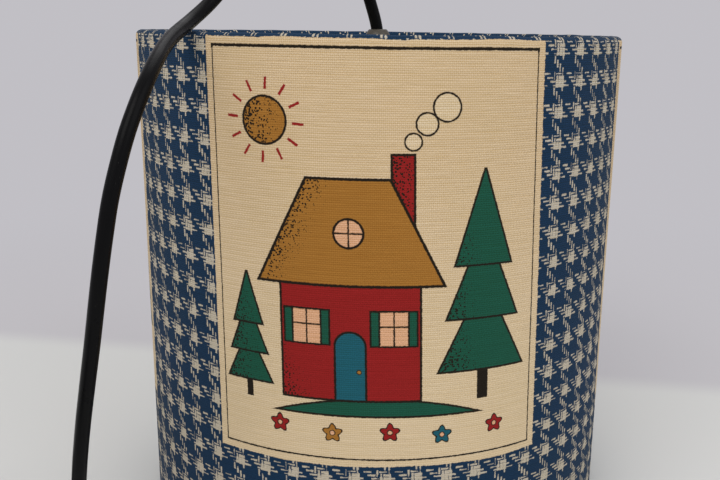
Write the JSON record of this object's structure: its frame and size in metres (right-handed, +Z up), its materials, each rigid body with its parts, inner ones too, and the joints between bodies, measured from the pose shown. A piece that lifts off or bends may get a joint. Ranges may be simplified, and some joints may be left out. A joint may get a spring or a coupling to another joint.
{
  "type": "pendant lamp",
  "caption": "Pendant lamp: a printed cloth drum shade on wire rings, hung by a spider from a screw lampholder on a black round flex that ends in a ceiling cup.",
  "frame": {"origin": "middle of the lower hem, on the table that the shade stands on", "axes": "+Z up along the shade's axis, -Y the side with the middle panel, +X to the right of it"},
  "size_m": [0.3404, 0.3697, 0.2894],
  "materials": {
    "printed_cloth": "slubbed cotton, printed",
    "shade_foil": "matt white film",
    "white_wire": "white lacquer",
    "holder_plastic": "satin moulded thermoset",
    "dark_screw": "blackened",
    "porcelain": "glazed",
    "brass": "stamped sheet",
    "plated_screw": "zinc plated",
    "brown_core": "satin",
    "blue_core": "satin",
    "solder": "dull solder",
    "black_glass": "glassy",
    "bulb_cap": "drawn",
    "lamp_glass": "clear",
    "stem_glass": "clear",
    "lead_wire": "drawn wire",
    "filament": "coiled tungsten",
    "flex_sheath": "satin black PVC",
    "tie_rubber": "matt",
    "cup_plastic": "black moulded",
    "hanger_plastic": "natural nylon",
    "block_plastic": "translucent nylon"
  },
  "bodies": {
    "lampholder": {"cord_grip": "holder_plastic", "grip_screw": "dark_screw", "holder_cap": "holder_plastic", "holder_skirt": "holder_plastic", "contact_carrier": "porcelain", "screw_shell": "brass", "centre_contact": "brass", "terminal_clamps": "brass", "terminal_screws": "plated_screw", "live_core": "brown_core", "neutral_core": "blue_core", "flex_arch": "flex_sheath", "flex_coil": "flex_sheath", "flex_tail": "flex_sheath", "coil_tie": "tie_rubber", "hanger": "hanger_plastic", "hanger_screw": "plated_screw", "terminal_block": "block_plastic", "block_tubes": "brass", "block_screws": "plated_screw", "tail_live_core": "brown_core", "tail_neutral_core": "blue_core"},
    "shade": {"shade_cloth": "printed_cloth", "shade_foil": "shade_foil", "top_ring": "white_wire", "bottom_ring": "white_wire", "spider_arms": "white_wire", "spider_hub": "white_wire"},
    "shade_ring": {"shade_ring": "holder_plastic"},
    "bulb_tip": {"bulb_contact": "solder", "bulb_insulator": "black_glass"},
    "bulb": {"bulb_cap": "bulb_cap", "bulb_glass": "lamp_glass", "bulb_stem": "stem_glass", "bulb_leads": "lead_wire", "bulb_filament": "filament", "filament_supports": "lead_wire"},
    "ceiling_cup": {"ceiling_cup": "cup_plastic", "cup_screw": "plated_screw"}
  },
  "joints": [
    {"name": "shade_turn", "type": "hinge", "parent": "lampholder", "child": "shade", "pos_m": [0, 0, 0.18], "axis": [0, 0, 1], "continuous": true},
    {"name": "ring_turn", "type": "hinge", "parent": "lampholder", "child": "shade_ring", "pos_m": [0, 0, 0.18], "axis": [0, 0, -1], "range_deg": [0, 1080]},
    {"name": "bulb_travel", "type": "slide", "parent": "lampholder", "child": "bulb_tip", "axis": [0, 0, -1], "range_m": [0, 0.0109]},
    {"name": "bulb_turn", "type": "hinge", "parent": "bulb_tip", "child": "bulb", "pos_m": [0, 0, 0.15], "axis": [0, 0, -1], "range_deg": [0, 1080]},
    {"name": "cup_slide", "type": "slide", "parent": "lampholder", "child": "ceiling_cup", "axis": [-0.28, 0.96, 0], "range_m": [0, 0.014]}
  ],
  "couplings": [
    {"joint": "bulb_travel", "follows": "bulb_turn", "m_per_rad": 0.00057773}
  ]
}
